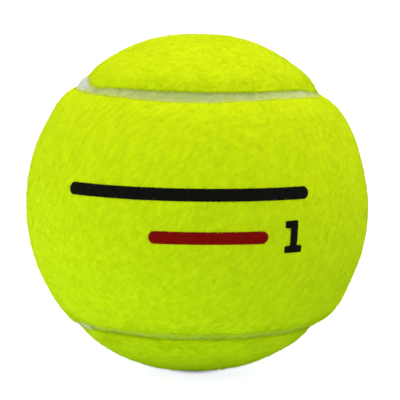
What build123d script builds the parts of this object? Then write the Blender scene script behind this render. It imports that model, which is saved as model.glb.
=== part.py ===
"""A pressurised tennis ball: a hollow rubber core in two halves under two felt panels.

The origin is the ball's centre and +Z is up. The front panel's waist faces -Y and lies across the
ball, the rear panel's waist faces +Y and stands upright, and the core's joint is the plane y = 0.
Lengths are in millimetres.
"""

import os
from math import cos, degrees, radians, sin

from build123d import *

# Driving dimensions
core_diameter = 60.2  # the joined rubber core, across the outside
core_wall = 3.3  # rubber, the same all round
rim_bevel = 0.9  # bevel inside each half's rim, where the cement gathers in a bead
joint_cement = 0.2  # cement between the two rims
core_cement = 0.2  # coat of cement over the joined core
panel_cement = 0.3  # coat of cement on the back of each felt panel
felt_thickness = 2.9  # felt at the crown of a panel, nap included
edge_roll = 4.5  # width over which a panel's face rolls down to its edge
edge_drop = 0.8  # how much lower a panel's face is at its edge than at its crown
seam_width = 2.2  # gap between the panels' edges, measured round the ball
seam_recess = 0.3  # how far the cement in the seam lies below the panels' edges

# Radii of the layers, from the inside out
core_radius = core_diameter / 2
bore_radius = core_radius - core_wall
coat_radius = core_radius + core_cement
felt_base_radius = coat_radius + panel_cement
ball_radius = felt_base_radius + felt_thickness
felt_edge_radius = ball_radius - edge_drop
seam_radius = felt_edge_radius - seam_recess
clear_radius = ball_radius + felt_thickness  # outside everything, where a cut ends

# Angles from the middle of the seam, seen from the ball's centre
seam_half_angle = degrees(seam_width / 2 / ball_radius)
roll_angle = seam_half_angle + degrees(edge_roll / ball_radius)

# The seam is four half circles, each an eighth of a turn from an axis of the ball: two on the front
# about the Z axis and two on the rear about the X axis. They meet end to end at four corners in the
# plane y = 0. A section across the seam is drawn at the upper right corner, with its own Y pointing
# outwards along the seam's middle and its own X towards the front panel.
seam_plane = Plane(origin=(0, 0, 0), x_dir=(1, 0, -1), z_dir=(0, -1, 0))
front_run_axis = Axis((0, 0, 0), (0, 0, -1))
rear_run_axis = Axis((0, 0, 0), (-1, 0, 0))
corner_axis = Axis((0, 0, 0), (1, 0, 1))
half_turn = 180
quarter_turn = 90


def section_point(radius, angle):
    """A point of a seam section, by its radius and its angle from the seam's middle."""
    return (radius * sin(radians(angle)), radius * cos(radians(angle)))


def seam_section(inner_radius, outer_radius, half_angle):
    """A section across the whole seam, between two radii, with walls that point at the centre."""
    with BuildSketch(seam_plane) as section:
        with BuildLine():
            Line(section_point(inner_radius, -half_angle), section_point(outer_radius, -half_angle))
            CenterArc((0, 0), outer_radius, quarter_turn - half_angle, 2 * half_angle)
            Line(section_point(outer_radius, half_angle), section_point(inner_radius, half_angle))
            CenterArc((0, 0), inner_radius, quarter_turn - half_angle, 2 * half_angle)
        make_face()
    return section.sketch


def along_seam(section):
    """The closed loop that a section makes when it is carried along the four half circles."""
    with BuildPart() as loop:
        revolve(section, axis=front_run_axis, revolution_arc=half_turn)
        revolve(section, axis=rear_run_axis, revolution_arc=half_turn)
        add(loop.part.rotate(Axis.Y, half_turn))
    return loop.part


os.makedirs("parts", exist_ok=True)

# Front half of the core: a moulded rubber half-shell, its rim ground flat and bevelled inside
with BuildPart() as core_half_front:
    with BuildSketch() as half_section:
        Circle(core_radius)
        Circle(bore_radius, mode=Mode.SUBTRACT)
        with Locations((0, -joint_cement / 2)):
            Rectangle(core_radius, core_radius, align=(Align.MIN, Align.MAX), mode=Mode.INTERSECT)
        rim_corners = half_section.vertices().group_by(Axis.Y)[-1]
        chamfer(rim_corners.sort_by(Axis.X)[0], rim_bevel)
    revolve(axis=Axis.Y)
core_half_front.part.label = "core_half_front"
export_step(core_half_front.part, "parts/core_half_front.step")

# Rear half of the core: the same moulding, facing the other way
with BuildPart() as core_half_rear:
    add(core_half_front.part.rotate(Axis.Z, half_turn))
core_half_rear.part.label = "core_half_rear"
export_step(core_half_rear.part, "parts/core_half_rear.step")

# Cement of the core's joint: what the two halves leave free of the wall, with its bead inside
with BuildPart() as core_joint_cement:
    Sphere(core_radius, rotation=(quarter_turn, 0, 0))
    Sphere(bore_radius, rotation=(quarter_turn, 0, 0), mode=Mode.SUBTRACT)
    add(core_half_front.part, mode=Mode.SUBTRACT)
    add(core_half_rear.part, mode=Mode.SUBTRACT)
core_joint_cement.part.label = "core_joint_cement"
export_step(core_joint_cement.part, "parts/core_joint_cement.step")

# Coat of cement over the joined core, which the felt sticks to
with BuildPart() as core_coat:
    Sphere(coat_radius)
    Sphere(core_radius, mode=Mode.SUBTRACT)
core_coat.part.label = "core_coat"
export_step(core_coat.part, "parts/core_coat.step")

# Cement on the back of the front panel: a thin dog-bone, cut off square at the seam
with BuildPart() as panel_cement_front:
    Sphere(felt_base_radius)
    Sphere(coat_radius, mode=Mode.SUBTRACT)
    add(along_seam(seam_section(core_radius, ball_radius, seam_half_angle)), mode=Mode.SUBTRACT)
    add(panel_cement_front.solids().sort_by(Axis.Y)[0], mode=Mode.REPLACE)
panel_cement_front.part.label = "panel_cement_front"
export_step(panel_cement_front.part, "parts/panel_cement_front.step")

# Cement on the back of the rear panel: the same dog-bone, turned about a corner of the seam
with BuildPart() as panel_cement_rear:
    add(panel_cement_front.part.rotate(corner_axis, half_turn))
panel_cement_rear.part.label = "panel_cement_rear"
export_step(panel_cement_rear.part, "parts/panel_cement_rear.step")

# Edge of a felt panel: its face leaves the crown in a smooth arc and comes down to a short wall
crown_point = section_point(ball_radius, roll_angle)
edge_point = section_point(felt_edge_radius, seam_half_angle)
towards_seam = (-cos(radians(roll_angle)), sin(radians(roll_angle)))
with BuildSketch(seam_plane) as felt_edge:
    with BuildLine():
        Line(section_point(felt_base_radius, seam_half_angle), edge_point)
        TangentArc(crown_point, edge_point, tangent=towards_seam)
        Line(crown_point, section_point(felt_base_radius, roll_angle))
        CenterArc((0, 0), felt_base_radius, quarter_turn - roll_angle, roll_angle - seam_half_angle)
    make_face()

# Front felt panel: a band across the front whose two lobes wrap round the ball's left and right
with BuildPart() as felt_panel_front:
    Sphere(ball_radius)
    Sphere(felt_base_radius, mode=Mode.SUBTRACT)
    add(along_seam(seam_section(core_radius, clear_radius, roll_angle)), mode=Mode.SUBTRACT)
    add(felt_panel_front.solids().sort_by(Axis.Y)[0], mode=Mode.REPLACE)
    add(along_seam(felt_edge.sketch))
felt_panel_front.part.label = "felt_panel_front"
export_step(felt_panel_front.part, "parts/felt_panel_front.step")

# Rear felt panel: the same blank, turned about a corner, so its lobes cap the ball's top and bottom
with BuildPart() as felt_panel_rear:
    add(felt_panel_front.part.rotate(corner_axis, half_turn))
felt_panel_rear.part.label = "felt_panel_rear"
export_step(felt_panel_rear.part, "parts/felt_panel_rear.step")

# Cement in the seam: a strip on the core's coat, between the panels and a little below their edges
with BuildPart() as seam_cement:
    add(along_seam(seam_section(coat_radius, seam_radius, seam_half_angle)))
seam_cement.part.label = "seam_cement"
export_step(seam_cement.part, "parts/seam_cement.step")
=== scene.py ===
from math import asin, cos, exp, pi, radians, sin, sqrt

import bmesh
import bpy
import numpy as np
from mathutils import Matrix, Vector, noise


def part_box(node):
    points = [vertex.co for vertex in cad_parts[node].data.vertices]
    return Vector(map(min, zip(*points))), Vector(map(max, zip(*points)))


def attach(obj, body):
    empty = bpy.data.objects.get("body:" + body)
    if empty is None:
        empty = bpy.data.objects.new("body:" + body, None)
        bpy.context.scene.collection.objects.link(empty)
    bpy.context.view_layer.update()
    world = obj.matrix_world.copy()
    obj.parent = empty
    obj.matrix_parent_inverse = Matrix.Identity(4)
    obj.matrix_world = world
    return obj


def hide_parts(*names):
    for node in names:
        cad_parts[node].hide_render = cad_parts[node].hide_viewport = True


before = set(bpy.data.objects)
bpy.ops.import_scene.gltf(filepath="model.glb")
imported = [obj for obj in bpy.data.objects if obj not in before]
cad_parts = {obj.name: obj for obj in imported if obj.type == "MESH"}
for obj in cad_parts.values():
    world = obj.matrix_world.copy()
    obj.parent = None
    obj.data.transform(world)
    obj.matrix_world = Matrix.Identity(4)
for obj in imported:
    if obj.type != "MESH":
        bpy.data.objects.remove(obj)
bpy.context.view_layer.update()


# Core halves
# Two half-shells of black-brown rubber, pressed in a hot mould, with rims that are ground flat.
# The mould leaves a dull skin with a fine grain, paler where some of its release dust has stayed.
def put(tree, kind, inputs, **settings):
    """A new node in a tree: an input that is given a socket is linked to it, and any other is set."""
    node = tree.nodes.new(kind)
    for name, value in settings.items():
        setattr(node, name, value)
    for name, value in inputs.items():
        if isinstance(value, bpy.types.NodeSocket):
            tree.links.new(value, node.inputs[name])
        else:
            node.inputs[name].default_value = value
    return node


def number(tree, operation, *terms):
    """The result of one sum on numbers."""
    return put(tree, "ShaderNodeMath", dict(enumerate(terms)), operation=operation).outputs[0]


def blank_material(name):
    """A new material's tree, with nothing in it, and the material itself."""
    material = bpy.data.materials.new(name)
    material.use_nodes = True
    material.node_tree.nodes.clear()
    return material, material.node_tree


def between(tree, factor, first, second):
    """A colour that goes from the first to the second as the factor goes from 0 to 1."""
    mix = put(tree, "ShaderNodeMix", {0: factor}, data_type="RGBA")
    for socket, colour in ((mix.inputs[6], first), (mix.inputs[7], second)):
        if isinstance(colour, bpy.types.NodeSocket):
            tree.links.new(colour, socket)
        else:
            socket.default_value = (*colour, 1)
    return mix.outputs[2]


def clouds(tree, size, detail=2.0):
    """Soft noise of about that size in metres, fixed to the piece, from 0 to 1."""
    place = put(tree, "ShaderNodeTexCoord", {}).outputs["Object"]
    inputs = {"Vector": place, "Scale": 1 / size, "Detail": detail, "Roughness": 0.6}
    return put(tree, "ShaderNodeTexNoise", inputs).outputs["Fac"]


def spread(tree, value, low, high):
    """A noise value stretched about its middle, to run from low to high."""
    inputs = {"Value": value, "From Min": 0.3, "From Max": 0.7, "To Min": low, "To Max": high}
    return put(tree, "ShaderNodeMapRange", inputs).outputs[0]


def finish_with(tree, colour, roughness, height, relief, **settings):
    """Ends a material's tree in a shader with that colour, roughness and raised relief."""
    bump = put(tree, "ShaderNodeBump", {"Height": height, "Distance": relief, "Strength": 1.0})
    inputs = {"Base Color": colour, "Roughness": roughness, "Normal": bump.outputs[0], **settings}
    shader = put(tree, "ShaderNodeBsdfPrincipled", inputs)
    put(tree, "ShaderNodeOutputMaterial", {"Surface": shader.outputs[0]})


def rubbery(name, dark, pale, patch, grain, relief, low_roughness, high_roughness):
    """Rubber or dried cement: two shades in patches, over a fine grain."""
    material, tree = blank_material(name)
    drift = spread(tree, clouds(tree, patch, 4.0), 0.0, 1.0)
    skin = clouds(tree, grain)
    roughness = spread(tree, skin, low_roughness, high_roughness)
    finish_with(tree, between(tree, drift, dark, pale), roughness, skin, relief)
    return material


def dress(node_name, material):
    """Gives a piece of the frame its finished material."""
    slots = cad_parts[node_name].data.materials
    slots.clear()
    slots.append(material)


core_rubber = rubbery("core_rubber", dark=(0.045, 0.04, 0.036), pale=(0.085, 0.075, 0.066),
                      patch=0.006, grain=0.0004, relief=0.00005, low_roughness=0.62,
                      high_roughness=0.85)
dress("core_half_front", core_rubber)
dress("core_half_rear", core_rubber)


# Joint cement
# A ring of amber rubber cement that holds the two rims together and squeezes out in a bead inside.
# It dries glossier than the rubber, and cloudy where it is thick.
joint_cement = rubbery("joint_cement", dark=(0.2, 0.13, 0.05), pale=(0.36, 0.25, 0.12), patch=0.003,
                       grain=0.0009, relief=0.00006, low_roughness=0.3, high_roughness=0.5)
dress("core_joint_cement", joint_cement)


# Core coat
# A thin coat of tan rubber cement, spread all over the joined core and left to dry tacky.
# It dries a little uneven, in darker and paler drifts.
core_coat = rubbery("core_coat", dark=(0.33, 0.24, 0.11), pale=(0.48, 0.37, 0.2), patch=0.008,
                    grain=0.0012, relief=0.00008, low_roughness=0.4, high_roughness=0.62)
dress("core_coat", core_coat)


# Panel cement
# The cement that was spread on the back of each cut felt panel. It soaks into the weave and dries
# off-white and matt, with the cloth's grain showing through.
panel_cement = rubbery("panel_cement", dark=(0.44, 0.41, 0.31), pale=(0.6, 0.57, 0.45), patch=0.004,
                       grain=0.0007, relief=0.00008, low_roughness=0.6, high_roughness=0.8)
dress("panel_cement_front", panel_cement)
dress("panel_cement_rear", panel_cement)


# Felt panels
# Two dog-bone blanks of woven wool and nylon, napped into felt, dyed yellow, stretched over the
# core and pressed. Each blank's edge is cut square and rolls down to the seam as it is stretched.
ball_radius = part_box("felt_panel_front")[1].x
felt_back_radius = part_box("panel_cement_front")[1].x
panel_reach = asin(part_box("panel_cement_front")[1].z / felt_back_radius)
seam_half = pi / 4 - panel_reach
edge_roll = 0.0043
roll_end = seam_half + edge_roll / ball_radius
edge_drop = 0.0008
lip = 0.00015
face_rows = 70
lip_rows = 5
wall_rows = 3
back_rows = 8
waist_columns = 300
lobe_columns = 204
clump_size = 0.0009
clump_stretch = 0.6
clump_lean = (cos(radians(52)), 0.0, sin(radians(52)))
fibre_size = 0.0006
fibre_twist = 2.5
fibre_share = 0.5
fibre_relief = 0.00012
# The felt's yellow dye, lowered as painted shade where the face lies under the nap
felt_shaded_dark = (0.6, 0.77, 0.003)
felt_shaded_pale = (0.78, 0.93, 0.005)
felt_shaded_deep = (0.58, 0.75, 0.003)
felt_sheen = (0.8, 1.0, 0.02, 1)
# The felt's even swells: how wide they are and how high
swells = ((0.011, 0.0001), (0.0035, 0.00006), (0.0013, 0.00003))
# Where an edge was drawn out of line: its panel, the direction, how wide and how far it moved
drawn_places = (
    ("front", (-0.1, -0.7, 0.7), 0.02, (0.0, -0.0006, -0.0006)),
    ("front", (0.66, -0.3, 0.68), 0.007, (0.0003, 0.0, -0.0008)),
    ("rear", (0.3, -0.65, 0.7), 0.014, (0.0, -0.00025, -0.00025)),
    ("rear", (0.68, -0.2, 0.7), 0.0075, (0.001, 0.0, -0.0016)),
    ("front", (0.73, -0.04, 0.68), 0.008, (0.0005, 0.0, -0.0005)),
    ("rear", (-0.66, 0.08, 0.75), 0.007, (0.0013, 0.0, 0.0012)),
    ("rear", (-0.6, -0.3, 0.74), 0.004, (-0.0001, -0.0002, -0.0003)),
    ("rear", (-0.68, -0.12, -0.72), 0.004, (0.0006, 0.0, -0.0006)),
)
# Where the felt stands high or low: the direction, how wide and by how much
uneven_places = (
    ((0.79, -0.2, -0.575), 0.005, 0.0007),
    ((0.93, -0.14, -0.33), 0.011, 0.00045),
    ((0.67, -0.16, -0.73), 0.004, 0.0003),
    ((0.89, -0.04, 0.46), 0.005, 0.00035),
    ((0.27, 0.08, 0.96), 0.004, 0.0002),
    ((0.03, 0.11, 0.99), 0.007, -0.0003),
    ((0.04, -0.12, -0.99), 0.009, -0.00045),
    ((-0.47, -0.05, -0.88), 0.005, 0.0002),
    ((-0.71, -0.05, -0.7), 0.003, 0.0008),
    ((-0.85, 0.03, -0.52), 0.011, 0.0002),
    ((-0.77, 0.15, 0.62), 0.003, 0.0004),
    ((-0.68, 0.09, 0.73), 0.0018, 0.0008),
    ((0.73, -0.05, 0.68), 0.0028, -0.00095),
    ((0.6, 0.03, 0.79), 0.006, -0.00025),
    ((0.98, -0.1, -0.05), 0.012, 0.0002),
    ((-0.55, 0.16, 0.82), 0.005, -0.0004),
)


def face_radius(from_seam):
    """The radius of a panel's face at an angle from the seam's middle: level, then an arc down."""
    gap = roll_end - seam_half
    drop = (ball_radius - edge_drop) * cos(gap) - ball_radius
    reach = (ball_radius - edge_drop) * sin(gap)
    arc = -(drop ** 2 + reach ** 2) / (2 * drop)
    turn = max(roll_end - from_seam, 0.0)
    middle = ball_radius - arc
    return middle * cos(turn) + sqrt(arc ** 2 - (middle * sin(turn)) ** 2)


def panel_section():
    """Half of a panel's section, from its middle over the face, lip, wall and back: angle, radius."""
    lip_angle = lip / ball_radius
    section = []
    for angle in np.linspace(0, panel_reach - lip_angle, face_rows):
        section.append((angle, face_radius(pi / 4 - angle)))
    for turn in np.linspace(0, pi / 2, lip_rows + 1)[1:]:
        angle = panel_reach - lip_angle * (1 - sin(turn))
        section.append((angle, face_radius(pi / 4 - angle) - lip * (1 - cos(turn))))
    for radius in np.linspace(section[-1][1], felt_back_radius, wall_rows + 1)[1:]:
        section.append((panel_reach, radius))
    for angle in np.linspace(panel_reach, 0, back_rows + 1)[1:]:
        section.append((angle, felt_back_radius))
    return np.array(section)


def grid_faces(columns, rows, closed, first):
    """The quads of a grid of points that is stored column by column."""
    faces = []
    for column in range(columns - 1):
        for row in range(rows if closed else rows - 1):
            near = first + column * rows
            step = (row + 1) % rows
            faces.append((near + row, near + rows + row, near + rows + step, near + step))
    return faces


def across_seam(direction):
    """How far across the seam a direction lies: 0 on the front panel and 1 on the rear panel."""
    if direction.y < 0:
        rear = asin(min(abs(direction.z), 1.0))
    else:
        rear = pi / 2 - asin(min(abs(direction.x), 1.0))
    return min(max((rear - pi / 4) / (2 * seam_half) + 0.5, 0.0), 1.0)


def drawn(direction):
    """The direction in which a point of a panel's edge lies once it has been drawn over the core."""
    rear = across_seam(direction)
    moved = direction.copy()
    for side, place, width, pull in drawn_places:
        away = (direction - Vector(place)).length * ball_radius / width
        held = rear if side == "rear" else 1 - rear
        moved += Vector(pull) * (held * exp(-away ** 2) / ball_radius)
    return moved.normalized()


def swell_at(direction):
    """How far the felt stands out of its smooth shape in that direction, in metres."""
    height = 0.0
    for size, amount in swells:
        height += amount * noise.noise(direction * (ball_radius / size))
    for place, width, rise in uneven_places:
        away = (direction - Vector(place)).length * ball_radius / width
        height += rise * exp(-away ** 2)
    return height


def felt_blank(name, turn):
    """A panel as a closed mesh: a waist across the front and two lobes that go round behind."""
    angle, radius = panel_section().T
    loop_angle = np.concatenate((angle, -angle[-2:0:-1]))
    loop_radius = np.concatenate((radius, radius[-2:0:-1]))
    round_waist = np.linspace(-pi / 2, pi / 2, waist_columns + 1)[:, None]
    waist = np.stack((
        np.sin(round_waist) * np.cos(loop_angle) * loop_radius,
        -np.cos(round_waist) * np.cos(loop_angle) * loop_radius,
        np.sin(loop_angle) * loop_radius + 0 * round_waist,
    ), axis=-1)
    points = [waist.reshape(-1, 3)]
    faces = grid_faces(waist_columns + 1, len(loop_angle), True, 0)
    round_lobe = np.linspace(-pi / 2, pi / 2, lobe_columns + 1)[:, None]
    for side in (-1, 1):
        lobe = np.stack((
            side * np.cos(angle) * radius + 0 * round_lobe,
            np.sin(angle) * np.cos(round_lobe) * radius,
            np.sin(angle) * np.sin(round_lobe) * radius,
        ), axis=-1)
        first = sum(len(block) for block in points)
        points.append(lobe.reshape(-1, 3))
        faces += grid_faces(lobe_columns + 1, len(angle), False, first)
    mesh = bpy.data.meshes.new(name)
    mesh.from_pydata(np.concatenate(points).tolist(), [], faces)
    shaped = bmesh.new()
    shaped.from_mesh(mesh)
    bmesh.ops.remove_doubles(shaped, verts=shaped.verts, dist=1e-6)
    bmesh.ops.recalc_face_normals(shaped, faces=shaped.faces)
    from_seam = shaped.verts.layers.float.new("from_seam")
    nap = shaped.verts.layers.float.new("nap")
    wall_foot = ball_radius - edge_drop - lip
    for vertex in shaped.verts:
        level = vertex.co.length
        direction = vertex.co / level
        inside = abs(direction.z) if direction.y < 0 else sqrt(1 - min(direction.x ** 2, 1.0))
        vertex[from_seam] = (pi / 4 - np.arcsin(min(inside, 1.0)) - seam_half) * ball_radius
        vertex[nap] = 1.0 if level > wall_foot + lip / 2 else 0.0
        loose = min(max((level - felt_back_radius) / edge_drop, 0.0), 1.0)
        direction = drawn(turn @ direction)
        vertex.co = direction * (level + loose * swell_at(direction))
    shaped.to_mesh(mesh)
    shaped.free()
    mesh.shade_smooth()
    return bpy.data.objects.new(name, mesh)


def arrow(tree, operation, *terms):
    """The result of one sum on vectors."""
    return put(tree, "ShaderNodeVectorMath", dict(enumerate(terms)), operation=operation).outputs[0]


def scaled(tree, vector, factor):
    """A vector times a number."""
    node = put(tree, "ShaderNodeVectorMath", {0: vector, "Scale": factor}, operation="SCALE")
    return node.outputs[0]


def clumps(tree, place):
    """The felt's tufts at some place, from 0 to 1: soft spots, drawn out the way it was brushed."""
    reach = put(tree, "ShaderNodeVectorMath", {0: place, 1: clump_lean}, operation="DOT_PRODUCT")
    shift = number(tree, "MULTIPLY", reach.outputs["Value"], clump_stretch)
    place = arrow(tree, "SUBTRACT", place, scaled(tree, clump_lean, shift))
    spots = put(tree, "ShaderNodeTexNoise", {"Vector": place, "Scale": 1 / clump_size, "Detail": 2.0})
    return spread(tree, spots.outputs["Fac"], 0.0, 1.0)


def felt_material():
    """Matted yellow felt in greener and paler tufts, painted darker than its hairs as shade under them."""
    material, tree = blank_material("felt")
    place = put(tree, "ShaderNodeTexCoord", {}).outputs["Object"]
    fibre = put(tree, "ShaderNodeTexNoise", {
        "Vector": place, "Scale": 1 / fibre_size, "Detail": 4.0, "Distortion": fibre_twist}).outputs["Fac"]
    # Painted shade: darker between the tufts and darker still in the fibre grain, partly random tone
    shade = between(tree, clumps(tree, place), felt_shaded_dark, felt_shaded_pale)
    shade = between(tree, spread(tree, fibre, 0, fibre_share), shade, felt_shaded_deep)
    finish_with(tree, shade, 0.95, fibre, fibre_relief, **{
        "Diffuse Roughness": 0.2,
        "Specular IOR Level": 0.05,
        "Sheen Weight": 0.2,
        "Sheen Roughness": 0.5,
        "Sheen Tint": felt_sheen,
    })
    return material


as_cut = Matrix.Identity(3)
turned_over = Matrix(((0, 0, 1), (0, -1, 0), (1, 0, 0)))
felt = felt_material()
felt_panels = {}
for side, turn in (("front", as_cut), ("rear", turned_over)):
    panel = felt_blank(f"felt_{side}", turn)
    bpy.context.scene.collection.objects.link(panel)
    panel.data.materials.append(felt)
    felt_panels[side] = panel


# Print
# Ink that was stamped on the front panel's waist: a plain play number beside two plain bars.
# It mats the nap and soaks into the fibres, so its edges are a little ragged.
ink_lift = 0.00004
ink_depth = 0.00015
ink_soak = 0.0009
ink_fibre = 0.00022
ink_relief = 0.0001
print_step = 0.0004
bar_end_points = 13


def rounded_bar(left, right, middle, width):
    """The outline of a bar with round ends, as lengths round the ball and up it."""
    ends = np.linspace(-pi / 2, pi / 2, bar_end_points)
    half = width / 2
    outline = [(right - half + half * cos(turn), middle + half * sin(turn)) for turn in ends]
    return outline + [(left + half - half * cos(turn), middle - half * sin(turn)) for turn in ends]


def play_number(middle, foot, height):
    """The outline of a figure one with a short flag and a slab foot."""
    stem = height * 0.13
    slab = height * 0.32
    flag = height * 0.32
    # Each step: how far across from the middle, and how far up as a share of the height
    steps = (
        (-slab, 0.03), (-0.9 * slab, 0.0), (0.9 * slab, 0.0), (slab, 0.03), (slab, 0.18),
        (0.9 * slab, 0.22), (stem, 0.23), (stem, 0.96), (0.8 * stem, 1.0),
        (-0.9 * flag, 0.99), (-flag, 0.96), (-flag, 0.8), (-0.9 * flag, 0.77),
        (-stem, 0.76), (-stem, 0.23), (-0.9 * slab, 0.22), (-slab, 0.18),
    )
    return [(middle + along, foot + share * height) for along, share in steps]


def on_ball(along, up, radius):
    """The point that lies that far round the ball from its front and that far up from its waist."""
    around = along / ball_radius
    rise = up / ball_radius
    return Vector((sin(around) * cos(rise), -cos(around) * cos(rise), sin(rise))) * radius


def stamp(name, outlines):
    """A stencil of some outlines, cut small enough to follow the ball, at the ball's own radius."""
    shape = bmesh.new()
    for outline in outlines:
        shape.faces.new([shape.verts.new((along, 0, up)) for along, up in outline])
    corners = np.array([vertex.co for vertex in shape.verts])
    for axis, across in ((0, Vector((1, 0, 0))), (2, Vector((0, 0, 1)))):
        for place in np.arange(corners[:, axis].min(), corners[:, axis].max(), print_step):
            everything = shape.verts[:] + shape.edges[:] + shape.faces[:]
            bmesh.ops.bisect_plane(shape, geom=everything, dist=1e-7, plane_co=across * place,
                                   plane_no=across)
    bmesh.ops.triangulate(shape, faces=shape.faces)
    for vertex in shape.verts:
        vertex.co = on_ball(vertex.co.x, vertex.co.z, ball_radius)
    bmesh.ops.recalc_face_normals(shape, faces=shape.faces)
    mesh = bpy.data.meshes.new(name)
    shape.to_mesh(mesh)
    shape.free()
    stencil = bpy.data.objects.new(name, mesh)
    bpy.context.scene.collection.objects.link(stencil)
    return stencil


def ink_film(stencil, name):
    """The stamped ink: the stencil's shape laid on the felt as it swells, with a little depth."""
    film = bmesh.new()
    film.from_mesh(stencil.data)
    for vertex in film.verts:
        direction = vertex.co.normalized()
        vertex.co = direction * (ball_radius + swell_at(direction) + ink_lift)
    for face in film.faces:
        if face.normal.dot(face.calc_center_median()) < 0:
            face.normal_flip()
    bmesh.ops.solidify(film, geom=film.faces[:], thickness=ink_depth)
    mesh = bpy.data.meshes.new(name)
    film.to_mesh(mesh)
    film.free()
    mesh.shade_smooth()
    piece = bpy.data.objects.new(name, mesh)
    bpy.context.scene.collection.objects.link(piece)
    return piece


def ink_material(name, dark, pale):
    """Ink on felt: dull, in two shades, with the fibres standing through it."""
    material, tree = blank_material(name)
    soak = clouds(tree, ink_soak, 3.0)
    fibre = clouds(tree, ink_fibre, 2.0)
    shade = between(tree, spread(tree, soak, 0, 1), dark, pale)
    finish_with(tree, shade, 0.9, fibre, ink_relief, **{"Specular IOR Level": 0.05})
    return material


black_stencil = stamp("black_stencil", (
    rounded_bar(left=-0.0305, right=0.0195, middle=0.0053, width=0.0024),
    play_number(middle=0.0161, foot=-0.006, height=0.0062),
))
red_stencil = stamp("red_stencil", (
    rounded_bar(left=-0.0125, right=0.0105, middle=-0.0028, width=0.0024),
))
black_print = ink_film(black_stencil, "print_black")
black_ink = ink_material("black_ink", dark=(0.002, 0.002, 0.002), pale=(0.006, 0.006, 0.005))
black_print.data.materials.append(black_ink)
red_print = ink_film(red_stencil, "print_red")
red_ink = ink_material("red_ink", dark=(0.2, 0.002, 0.002), pale=(0.28, 0.003, 0.003))
red_print.data.materials.append(red_ink)


# Nap
# The loose ends of the felt's fibres: fine hairs, up to two millimetres long, that lie matted on the
# face, curl every way and stand up a little, shorter where the panel's edge was cut.
quarters = {"upper_left": (-1, 1), "upper_right": (1, 1), "lower_left": (-1, -1), "lower_right": (1, -1)}
nap_sizes = {
    "Fibres per area": 1.05e7,
    "Fringe share": 7.0,
    "Fringe width": 0.0005,
    "Fringe pull": 2.0,
    "Fringe above": 0.5,
    "Fringe below": 0.8,
    "Length": 0.0015,
    "Radius": 0.000035,
    "Arch": 0.00005,
    "Sink": 0.00006,
    "Tuft": 0.00003,
    "Lift": 0.35,
    "Curl": 0.6,
    "Flow": 1.1,
    "Flow size": 0.007,
    "Trim": 0.0022,
    "Ball radius": ball_radius,
}
nap_brush = (-0.3, 0.0, -0.4)
shortest_share = 0.5
longest_share = 1.3
flow_gain = 4.0
least_arch = 0.2
stand_power = 3.0
clump_shade = 0.7
own_shade = 0.3
dark_hairs = 0.0002
ink_reach = 0.00005
tint_least = 0.41
tint_range = 0.18
ink_tint = 0.35
bake_width = 0.006


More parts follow.
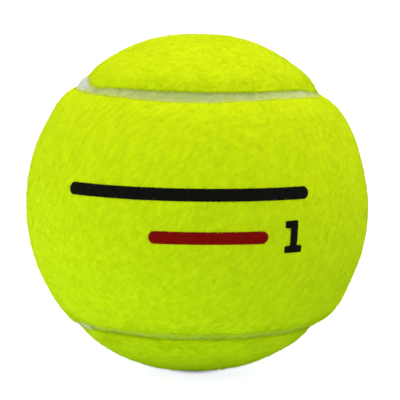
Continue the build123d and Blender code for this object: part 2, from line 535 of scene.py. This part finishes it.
def nap_tree():
    """Scatters tapered three-sided hairs over a panel's face and bends each one along it."""
    tree = bpy.data.node_groups.new("felt_nap", "GeometryNodeTree")
    face = tree.interface
    face.new_socket("Geometry", in_out="INPUT", socket_type="NodeSocketGeometry")
    for name in nap_sizes:
        face.new_socket(name, in_out="INPUT", socket_type="NodeSocketFloat")
    face.new_socket("Brush", in_out="INPUT", socket_type="NodeSocketVector")
    face.new_socket("Quarter", in_out="INPUT", socket_type="NodeSocketVector")
    face.new_socket("Black stencil", in_out="INPUT", socket_type="NodeSocketObject")
    face.new_socket("Red stencil", in_out="INPUT", socket_type="NodeSocketObject")
    face.new_socket("Material", in_out="INPUT", socket_type="NodeSocketMaterial")
    face.new_socket("Seed", in_out="INPUT", socket_type="NodeSocketInt")
    face.new_socket("Geometry", in_out="OUTPUT", socket_type="NodeSocketGeometry")
    given = put(tree, "NodeGroupInput", {}).outputs

    def named(name, kind="FLOAT"):
        node = put(tree, "GeometryNodeInputNamedAttribute", {"Name": name}, data_type=kind)
        return node.outputs["Attribute"]

    def chance(low, high, seed):
        seed = number(tree, "ADD", given["Seed"], seed)
        inputs = {2: low, 3: high, "Seed": seed}
        return put(tree, "FunctionNodeRandomValue", inputs, data_type="FLOAT").outputs[1]

    def keep(geometry, name, value, kind="FLOAT"):
        inputs = {"Geometry": geometry, "Name": name, "Value": value}
        node = put(tree, "GeometryNodeStoreNamedAttribute", inputs, data_type=kind, domain="POINT")
        return node.outputs[0]

    # Where the hairs are rooted
    place = put(tree, "GeometryNodeInputPosition", {}).outputs[0]
    turned = arrow(tree, "MULTIPLY", place, given["Quarter"])
    part = put(tree, "ShaderNodeSeparateXYZ", {0: turned}).outputs
    here = number(tree, "MULTIPLY", number(tree, "GREATER_THAN", part[0], 0.0),
                  number(tree, "GREATER_THAN", part[2], 0.0))
    fringe = put(tree, "ShaderNodeMapRange", {
        "Value": named("from_seam"), "From Min": 0.0, "From Max": given["Fringe width"],
        "To Min": given["Fringe share"], "To Max": 1.0}).outputs[0]
    density = number(tree, "MULTIPLY", given["Fibres per area"], named("nap"))
    density = number(tree, "MULTIPLY", density, number(tree, "MULTIPLY", fringe, here))
    roots = put(tree, "GeometryNodeDistributePointsOnFaces", {
        "Mesh": given["Geometry"], "Density": density, "Seed": given["Seed"]}, distribute_method="RANDOM")
    out = arrow(tree, "NORMALIZE", place)

    # Which way each hair lies, how long it is, how far it stands up and its shade
    stray = put(tree, "FunctionNodeRandomValue", {0: (-1, -1, -1), 1: (1, 1, 1), "Seed": given["Seed"]},
                data_type="FLOAT_VECTOR").outputs[0]
    drift_scale = number(tree, "DIVIDE", 1.0, given["Flow size"])
    drift = put(tree, "ShaderNodeTexNoise", {
        "Vector": place, "Scale": drift_scale, "Detail": 1.0}).outputs["Color"]
    drift = arrow(tree, "SUBTRACT", drift, (0.5, 0.5, 0.5))
    flow = number(tree, "MULTIPLY", given["Flow"], flow_gain)
    way = arrow(tree, "ADD", stray, scaled(tree, drift, flow))
    way = arrow(tree, "ADD", way, given["Brush"])
    way = arrow(tree, "ADD", way, scaled(tree, roots.outputs["Normal"], given["Fringe pull"]))
    rise = put(tree, "ShaderNodeVectorMath", {0: way, 1: out}, operation="DOT_PRODUCT").outputs["Value"]
    way = arrow(tree, "NORMALIZE", arrow(tree, "SUBTRACT", way, scaled(tree, out, rise)))
    half_way = number(tree, "DIVIDE", given["Ball radius"], 2.0)
    left_on = put(tree, "ShaderNodeMapRange", {
        "Value": put(tree, "ShaderNodeSeparateXYZ", {0: place}).outputs[2],
        "From Min": number(tree, "MULTIPLY", half_way, -1.0), "From Max": half_way,
        "To Min": given["Fringe below"], "To Max": given["Fringe above"]}).outputs[0]
    trim = put(tree, "ShaderNodeMapRange", {
        "Value": named("from_seam"), "From Min": 0.0, "From Max": given["Trim"],
        "To Min": left_on, "To Max": 1.0}).outputs[0]
    share = number(tree, "MULTIPLY", chance(shortest_share, longest_share, 11), trim)
    reach = number(tree, "MULTIPLY", given["Length"], share)
    stand = number(tree, "POWER", chance(0.0, 1.0, 13), stand_power)
    # Hairs on the higher tufts are paler and those between them darker: partly random tone, partly painted
    # shade between the tufts
    clump = clumps(tree, place)
    shade = number(tree, "MULTIPLY", clump, clump_shade)
    shade = number(tree, "ADD", shade, chance(0.0, own_shade, 23))
    dark = number(tree, "LESS_THAN", chance(0.0, 1.0, 29), dark_hairs)
    shade = number(tree, "SUBTRACT", shade, dark)

    points = keep(roots.outputs["Points"], "root", place, "FLOAT_VECTOR")
    points = keep(points, "out", out, "FLOAT_VECTOR")
    points = keep(points, "way", way, "FLOAT_VECTOR")
    points = keep(points, "reach", reach)
    points = keep(points, "bend", chance(-1.0, 1.0, 17))
    points = keep(points, "arch", chance(least_arch, 1.0, 19))
    points = keep(points, "tuft", clump)
    points = keep(points, "stand", stand)
    points = keep(points, "shade", shade)

    # One straight hair, set on every root
    hair = put(tree, "GeometryNodeMeshCone", {
        "Vertices": 3, "Side Segments": 2, "Radius Top": 0.0, "Radius Bottom": 1.0, "Depth": 1.0,
    }, fill_type="NONE")
    hair = keep(hair.outputs["Mesh"], "station", place, "FLOAT_VECTOR")
    hairs = put(tree, "GeometryNodeInstanceOnPoints", {"Points": points, "Instance": hair}).outputs[0]
    hairs = put(tree, "GeometryNodeRealizeInstances", {"Geometry": hairs}).outputs[0]

    # Each hair laid along its way, curled, bowed and tipped up, as thick as it should be
    station = put(tree, "ShaderNodeSeparateXYZ", {0: named("station", "FLOAT_VECTOR")}).outputs
    along = station[2]
    reach = named("reach")
    run = number(tree, "MULTIPLY", along, reach)
    out = named("out", "FLOAT_VECTOR")
    way = named("way", "FLOAT_VECTOR")
    side = arrow(tree, "CROSS_PRODUCT", out, way)
    swing = number(tree, "MULTIPLY", number(tree, "MULTIPLY", named("bend"), given["Curl"]),
                   number(tree, "MULTIPLY", run, along))
    bow = number(tree, "MULTIPLY", along, number(tree, "SUBTRACT", 1.0, along))
    bow = number(tree, "MULTIPLY", bow, 4.0)
    bow = number(tree, "MULTIPLY", bow, number(tree, "MULTIPLY", given["Arch"], named("arch")))
    tip = number(tree, "MULTIPLY", number(tree, "MULTIPLY", named("stand"), given["Lift"]),
                 number(tree, "MULTIPLY", run, along))
    fall = number(tree, "DIVIDE", number(tree, "MULTIPLY", run, run),
                  number(tree, "MULTIPLY", given["Ball radius"], 2.0))
    tuft = number(tree, "MULTIPLY", number(tree, "MULTIPLY", named("tuft"), given["Tuft"]), along)
    height = number(tree, "ADD", bow, tip)
    height = number(tree, "SUBTRACT", height, number(tree, "ADD", fall, given["Sink"]))
    height = number(tree, "ADD", height, tuft)
    spot = arrow(tree, "ADD", named("root", "FLOAT_VECTOR"), scaled(tree, way, run))
    outwards = number(tree, "ADD", height, number(tree, "MULTIPLY", station[1], given["Radius"]))
    spot = arrow(tree, "ADD", spot, scaled(tree, out, outwards))
    sideways = number(tree, "ADD", swing, number(tree, "MULTIPLY", station[0], given["Radius"]))
    spot = arrow(tree, "ADD", spot, scaled(tree, side, sideways))
    hairs = put(tree, "GeometryNodeSetPosition", {"Geometry": hairs, "Position": spot}).outputs[0]

    # The dye of each hair, and the strip of a baked picture that it takes its colour from
    level = scaled(tree, arrow(tree, "NORMALIZE", place), given["Ball radius"])

    def inked(stencil):
        shape = put(tree, "GeometryNodeObjectInfo", {"Object": stencil}).outputs["Geometry"]
        inputs = {0: shape, "Sample Position": level}
        near = put(tree, "GeometryNodeProximity", inputs, target_element="FACES")
        return number(tree, "LESS_THAN", near.outputs["Distance"], ink_reach)

    tint = number(tree, "ADD", number(tree, "MULTIPLY", named("shade"), tint_range), tint_least)
    black = number(tree, "MULTIPLY", inked(given["Black stencil"]), ink_tint)
    tint = number(tree, "SUBTRACT", tint, black)
    red = number(tree, "MULTIPLY", inked(given["Red stencil"]), ink_tint)
    tint = number(tree, "ADD", tint, red)
    hairs = keep(hairs, "tint", tint)
    hairs = keep(hairs, "along", along)
    width = number(tree, "ADD", named("tint"), number(tree, "MULTIPLY", station[0], bake_width))
    corner = put(tree, "ShaderNodeCombineXYZ", {0: width, 1: along}).outputs[0]
    inputs = {"Geometry": hairs, "Name": "OFBake", "Value": corner}
    hairs = put(tree, "GeometryNodeStoreNamedAttribute", inputs, data_type="FLOAT2",
                domain="CORNER").outputs[0]
    for spent in ("root", "out", "way", "reach", "bend", "arch", "tuft", "stand", "shade", "station", "nap",
                  "from_seam"):
        hairs = put(tree, "GeometryNodeRemoveAttribute", {"Geometry": hairs, "Name": spent}).outputs[0]
    hairs = put(tree, "GeometryNodeSetShadeSmooth", {"Geometry": hairs}).outputs[0]
    hairs = put(tree, "GeometryNodeSetMaterial", {
        "Geometry": hairs, "Material": given["Material"]}).outputs[0]
    put(tree, "NodeGroupOutput", {0: hairs})
    return tree


def nap_material():
    """Dyed fibre, paler at its tip. The tint picks the dye: black ink, the felt's yellow or red ink."""
    material, tree = blank_material("nap")
    tint = put(tree, "ShaderNodeAttribute", {}, attribute_name="tint").outputs["Fac"]
    along = put(tree, "ShaderNodeAttribute", {}, attribute_name="along").outputs["Fac"]
    dyes = put(tree, "ShaderNodeValToRGB", {"Fac": tint})
    shades = dyes.color_ramp.elements
    shades[0].position = 0.0
    shades[0].color = (0.002, 0.002, 0.002, 1)
    shades[1].position = 1.0
    shades[1].color = (0.3, 0.003, 0.003, 1)
    for position, colour in (
        (0.32, (0.006, 0.006, 0.005)), (0.35, (0.68, 0.84, 0.003)), (0.65, (0.91, 0.99, 0.006)),
        (0.68, (0.2, 0.002, 0.002)),
    ):
        shades.new(position).color = (*colour, 1)
    # Each hair grows a little paler towards its tip
    tip = put(tree, "ShaderNodeHueSaturation", {"Value": 1.06, "Color": dyes.outputs[0]}).outputs[0]
    paler_to_tip = between(tree, along, dyes.outputs[0], tip)
    shader = put(tree, "ShaderNodeBsdfPrincipled", {
        "Base Color": paler_to_tip, "Roughness": 0.9, "Specular IOR Level": 0.05, "Diffuse Roughness": 0.2,
        "Sheen Weight": 0.1, "Sheen Roughness": 0.5, "Sheen Tint": felt_sheen})
    put(tree, "ShaderNodeOutputMaterial", {"Surface": shader.outputs[0]})
    return material


nap_dye = nap_material()
nap_nodes = nap_tree()
nap_inputs = [item for item in nap_nodes.interface.items_tree if item.in_out == "INPUT"]
sockets = {item.name: item.identifier for item in nap_inputs}
nap_pieces = {"front": [], "rear": []}
seed = 40
for side, panel in felt_panels.items():
    for quarter, (across, upright) in quarters.items():
        seed += 1
        nap = bpy.data.objects.new(f"nap_{side}_{quarter}", panel.data)
        bpy.context.scene.collection.objects.link(nap)
        laid = nap.modifiers.new("nap", "NODES")
        laid.node_group = nap_nodes
        for name, size in nap_sizes.items():
            laid[sockets[name]] = size
        laid[sockets["Brush"]] = nap_brush
        laid[sockets["Quarter"]] = (across, 1.0, upright)
        laid[sockets["Black stencil"]] = black_stencil
        laid[sockets["Red stencil"]] = red_stencil
        laid[sockets["Material"]] = nap_dye
        laid[sockets["Seed"]] = seed
        grown = nap.evaluated_get(bpy.context.evaluated_depsgraph_get())
        hairs = bpy.data.meshes.new_from_object(grown)
        nap.modifiers.clear()
        nap.data = hairs
        nap_pieces[side].append(nap)

bpy.data.objects.remove(black_stencil)
bpy.data.objects.remove(red_stencil)

for side, panel in felt_panels.items():
    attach(panel, "root")
    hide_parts(f"felt_panel_{side}")
    for nap in nap_pieces[side]:
        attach(nap, "root")
for ink in (black_print, red_print):
    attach(ink, "root")


# Seam cement
# The strip of pale rubber cement that fills the gap between the panels' edges, cured in the mould.
# It creeps a little way up each edge, sinks in the middle and is faintly lumpy, with dull skin.
coat_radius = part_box("core_coat")[1].x
seam_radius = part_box("seam_cement")[1].x / cos(panel_reach)
bare_corners = ((-0.69, -0.05, 0.72), (-0.69, -0.19, -0.7))
bare_width = 0.0035
bare_rise = 0.0003
# A place at the front of the upper run where the cement is darker: its direction, how wide and how much
darker_place = (0.03, -0.71, 0.7)
darker_width = 0.016
darker_share = 0.2
filled_place = (0.66, -0.25, 0.71)
filled_width = 0.009
filled_rise = 0.00015
seam_fill = 0.0001
stain_middle = 0.75
# How much greener the cement is painted lower down, as yellow bounce light from the felt
painted_bounce_fall = 0.5
stain_size = 0.009
stain_share = 0.15
patch_size = 0.0022
patch_share = 0.2
skin_size = 0.0003
skin_relief = 0.00006
seam_columns = 260
seam_rows = 21
base_step = 10
seam_sag = 0.0001
seam_creep = 0.00005
seam_lumps = ((0.004, 0.00008), (0.0013, 0.00005), (0.0005, 0.00002))


def seam_strip(name):
    """The strip as one closed loop of four half circles, two over the front and two behind."""
    across = np.linspace(-seam_half, seam_half, seam_rows)
    share = np.abs(across / seam_half)
    top = seam_radius + seam_fill - seam_sag * (1 - share ** 2) + seam_creep * share ** 4
    base = across[::-base_step]
    section_angle = np.concatenate((across, base))
    section_radius = np.concatenate((top, np.full(len(base), coat_radius)))
    inside = pi / 4 - section_angle
    turn = np.linspace(pi / 2, -pi / 2, seam_columns, endpoint=False)[:, None]
    runs = (
        (np.sin(turn) * np.cos(inside), -np.cos(turn) * np.cos(inside), np.sin(inside) + 0 * turn),
        (-np.cos(inside) + 0 * turn, np.sin(inside) * np.cos(turn), np.sin(inside) * np.sin(turn)),
        (-np.sin(turn) * np.cos(inside), -np.cos(turn) * np.cos(inside), -np.sin(inside) + 0 * turn),
        (np.cos(inside) + 0 * turn, np.sin(inside) * np.cos(turn), -np.sin(inside) * np.sin(turn)),
    )
    points = np.concatenate([np.stack(run, axis=-1) * section_radius[:, None] for run in runs])
    columns, rows = points.shape[:2]
    loop = np.concatenate((points, points[:1]))
    faces = grid_faces(columns + 1, rows, True, 0)
    mesh = bpy.data.meshes.new(name)
    mesh.from_pydata(loop.reshape(-1, 3).tolist(), [], faces)
    strip = bmesh.new()
    strip.from_mesh(mesh)
    bmesh.ops.remove_doubles(strip, verts=strip.verts, dist=1e-6)
    bmesh.ops.recalc_face_normals(strip, faces=strip.faces)
    stain_and_bounce_light = strip.verts.layers.float.new("stain_and_bounce_light")
    for vertex in strip.verts:
        level = vertex.co.length
        direction = drawn(vertex.co / level)
        bare = 0.0
        for place in bare_corners:
            bare += exp(-((direction - Vector(place)).length * ball_radius / bare_width) ** 2)
        from_darker = (direction - Vector(darker_place)).length * ball_radius / darker_width
        drift = stain_share * noise.noise(direction * (ball_radius / stain_size))
        drift = drift + darker_share * exp(-from_darker ** 2)
        # Lower on the ball the cement turns greener, as painted yellow bounce light from the felt walls;
        # the drift is the dye's own stain
        vertex[stain_and_bounce_light] = min(max(stain_middle + drift - painted_bounce_fall * direction.z - bare, 0.0), 1.0)
        if level > (coat_radius + seam_radius) / 2:
            from_filled = (direction - Vector(filled_place)).length * ball_radius / filled_width
            level += swell_at(direction) + bare_rise * bare + filled_rise * exp(-from_filled ** 2)
            for size, amount in seam_lumps:
                level += amount * noise.noise(direction * (ball_radius / size))
        vertex.co = direction * level
    strip.to_mesh(mesh)
    strip.free()
    mesh.shade_smooth()
    return bpy.data.objects.new(name, mesh)


def seam_material():
    """Dried cement: pale where bare, dyed yellow-green, and greener low down as painted bounce light."""
    material, tree = blank_material("seam_cement")
    stain_and_bounce_light = put(tree, "ShaderNodeAttribute", {}, attribute_name="stain_and_bounce_light").outputs["Fac"]
    patches = spread(tree, clouds(tree, patch_size, 4.0), -patch_share, patch_share)
    stain_and_bounce_ramp = put(tree, "ShaderNodeValToRGB", {"Fac": number(tree, "ADD", stain_and_bounce_light, patches)})
    shades = stain_and_bounce_ramp.color_ramp.elements
    shades[0].color = (0.58, 0.6, 0.56, 1)
    shades[1].color = (0.5, 0.64, 0.03, 1)
    shades.new(0.4).color = (0.5, 0.58, 0.19, 1)
    shades.new(0.6).color = (0.36, 0.43, 0.12, 1)
    skin = clouds(tree, skin_size)
    finish_with(tree, stain_and_bounce_ramp.outputs[0], spread(tree, skin, 0.6, 0.85), skin, skin_relief)
    return material


seam = seam_strip("seam_strip")
bpy.context.scene.collection.objects.link(seam)
seam.data.materials.append(seam_material())
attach(seam, "root")
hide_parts("seam_cement")


# Studio
# A pale floor, large soft lamps above the ball and on both its sides, and weak ones before and behind
# it. The camera sees a white room and the ball's shadow, partly painted. The floor throws more light up
# on the left, has a painted shadow close to where the ball stands, and is clear from below.
floor_half = 3.0
floor_level = -ball_radius
paint_left = (0.8, 0.98, 0.9)
paint_right = (0.46, 0.58, 0.53)
paint_seen = (0.5, 0.5, 0.5)
bounce_left = (0.245, 0.305, 0.28)
bounce_right = (0.078, 0.1, 0.09)
bounce_under = (0, 0, 0)
glow_seen = (0.86, 0.85, 0.93)
side_reach = 0.06
contact_inner = 0.001
contact_outer = 0.0055
contact_share = 0.15
shade_inner = 0.002
shade_outer = 0.014
room_light = (0.1, 0.1, 0.1)
room_seen = (1, 1, 1)
lamp_distance = 3.0
lamp_colour = (1.0, 0.97, 0.93)


def seen_rays(tree):
    """1 for the rays that see the room itself, and 0 for those that bring its light to the ball."""
    ray = put(tree, "ShaderNodeLightPath", {}).outputs
    mirrored = number(tree, "MAXIMUM", ray["Is Glossy Ray"], ray["Is Transmission Ray"])
    return number(tree, "MAXIMUM", ray["Is Camera Ray"], mirrored)


def floor_material():
    """The floor's paint, with the light that it throws back from the rest of the room."""
    material, tree = blank_material("floor_paint")
    seen = seen_rays(tree)
    place = put(tree, "ShaderNodeTexCoord", {}).outputs["Object"]
    spot = arrow(tree, "MULTIPLY", place, (1, 1, 0))
    from_ball = put(tree, "ShaderNodeVectorMath", {0: spot}, operation="LENGTH").outputs["Value"]
    # A painted shadow round the ball's foot: the floor glows less there, as the camera sees it and as it
    # lights the ball
    painted_contact_shadow = put(tree, "ShaderNodeMapRange", {
        "Value": from_ball, "From Min": contact_inner, "From Max": contact_outer,
        "To Min": contact_share, "To Max": 1.0}).outputs[0]
    to_right = put(tree, "ShaderNodeMapRange", {
        "Value": put(tree, "ShaderNodeSeparateXYZ", {0: spot}).outputs[0],
        "From Min": -side_reach, "From Max": side_reach}).outputs[0]
    pale = between(tree, to_right, paint_left, paint_right)
    matt = put(tree, "ShaderNodeBsdfDiffuse", {"Color": between(tree, seen, pale, paint_seen)})
    bounce = between(tree, to_right, bounce_left, bounce_right)
    # Painted shade under the ball: the light the floor throws up fades out close to where the ball stands
    painted_shade_beside_ball = put(tree, "ShaderNodeMapRange", {
        "Value": from_ball, "From Min": shade_inner, "From Max": shade_outer}).outputs[0]
    bounce = between(tree, painted_shade_beside_ball, bounce_under, bounce)
    glow = put(tree, "ShaderNodeEmission", {
        "Color": between(tree, seen, bounce, glow_seen), "Strength": painted_contact_shadow})
    both = put(tree, "ShaderNodeAddShader", {0: matt.outputs[0], 1: glow.outputs[0]})
    below = put(tree, "ShaderNodeNewGeometry", {}).outputs["Backfacing"]
    clear = put(tree, "ShaderNodeBsdfTransparent", {})
    one_sided = put(tree, "ShaderNodeMixShader", {0: below, 1: both.outputs[0], 2: clear.outputs[0]})
    put(tree, "ShaderNodeOutputMaterial", {"Surface": one_sided.outputs[0]})
    return material


scene = bpy.context.scene
scene.view_settings.view_transform = "Standard"
floor_mesh = bpy.data.meshes.new("floor")
floor_mesh.from_pydata([(-floor_half, -floor_half, floor_level), (floor_half, -floor_half, floor_level),
                        (floor_half, floor_half, floor_level), (-floor_half, floor_half, floor_level)],
                       [], [(0, 1, 2, 3)])
floor = bpy.data.objects.new("floor", floor_mesh)
scene.collection.objects.link(floor)
floor_mesh.materials.append(floor_material())

room = bpy.data.worlds.new("room")
room.use_nodes = True
scene.world = room
tree = room.node_tree
tree.nodes.clear()
shade = between(tree, seen_rays(tree), room_light, room_seen)
back = put(tree, "ShaderNodeBackground", {"Color": shade, "Strength": 1.0})
put(tree, "ShaderNodeOutputWorld", {"Surface": back.outputs[0]})


def soft_lamp(name, elevation, azimuth, width, strength):
    """A round soft lamp aimed at the ball, as wide and as strong as if it were a metre away."""
    level = cos(radians(elevation))
    turn = radians(azimuth)
    place = Vector((sin(turn) * level, -cos(turn) * level, sin(radians(elevation))))
    data = bpy.data.lights.new(name, "AREA")
    data.shape = "DISK"
    data.size = width * lamp_distance
    data.energy = strength * lamp_distance ** 2
    data.color = lamp_colour
    lamp = bpy.data.objects.new(name, data)
    facing = place.to_track_quat("Z", "Y").to_matrix().to_4x4()
    lamp.matrix_world = Matrix.Translation(place * lamp_distance) @ facing
    lamp.visible_camera = False
    scene.collection.objects.link(lamp)


soft_lamp("lamp_above", elevation=80, azimuth=0, width=1.5, strength=5.3)
soft_lamp("lamp_right", elevation=62, azimuth=84, width=1.4, strength=10.0)
soft_lamp("lamp_left", elevation=38, azimuth=-94, width=1.0, strength=3.8)
soft_lamp("lamp_front", elevation=8, azimuth=-15, width=0.4, strength=0.6)
soft_lamp("lamp_back", elevation=8, azimuth=170, width=0.4, strength=1.5)


# Camera
# A long lens in front of the ball and a little above its middle, framed as the photograph is. The
# ball's middle and its radius are given in the photograph's pixels.
photo_width = 400
ball_middle = (196.2, 202.7)
ball_pixels = 169.7
camera_radii = 16
camera_distance = camera_radii * ball_radius
azimuth = radians(-6.0)
elevation = radians(6.68)
roll = radians(0.76)
backwards = Vector((sin(azimuth) * cos(elevation), -cos(azimuth) * cos(elevation), sin(elevation)))
across = Vector((cos(azimuth), sin(azimuth), 0))
upwards = backwards.cross(across)
turn = Matrix((across, upwards, backwards)).transposed() @ Matrix.Rotation(roll, 3, "Z")
camera_data = bpy.data.cameras.new("camera")
camera_data.sensor_width = 36.0
focal_pixels = ball_pixels * sqrt((camera_distance / ball_radius) ** 2 - 1)
camera_data.lens = focal_pixels * camera_data.sensor_width / photo_width
camera_data.shift_x = (photo_width / 2 - ball_middle[0]) / photo_width
camera_data.shift_y = (ball_middle[1] - photo_width / 2) / photo_width
camera_data.clip_start = 0.01
camera = bpy.data.objects.new("camera", camera_data)
camera.matrix_world = Matrix.Translation(backwards * camera_distance) @ turn.to_4x4()
scene.collection.objects.link(camera)
scene.camera = camera
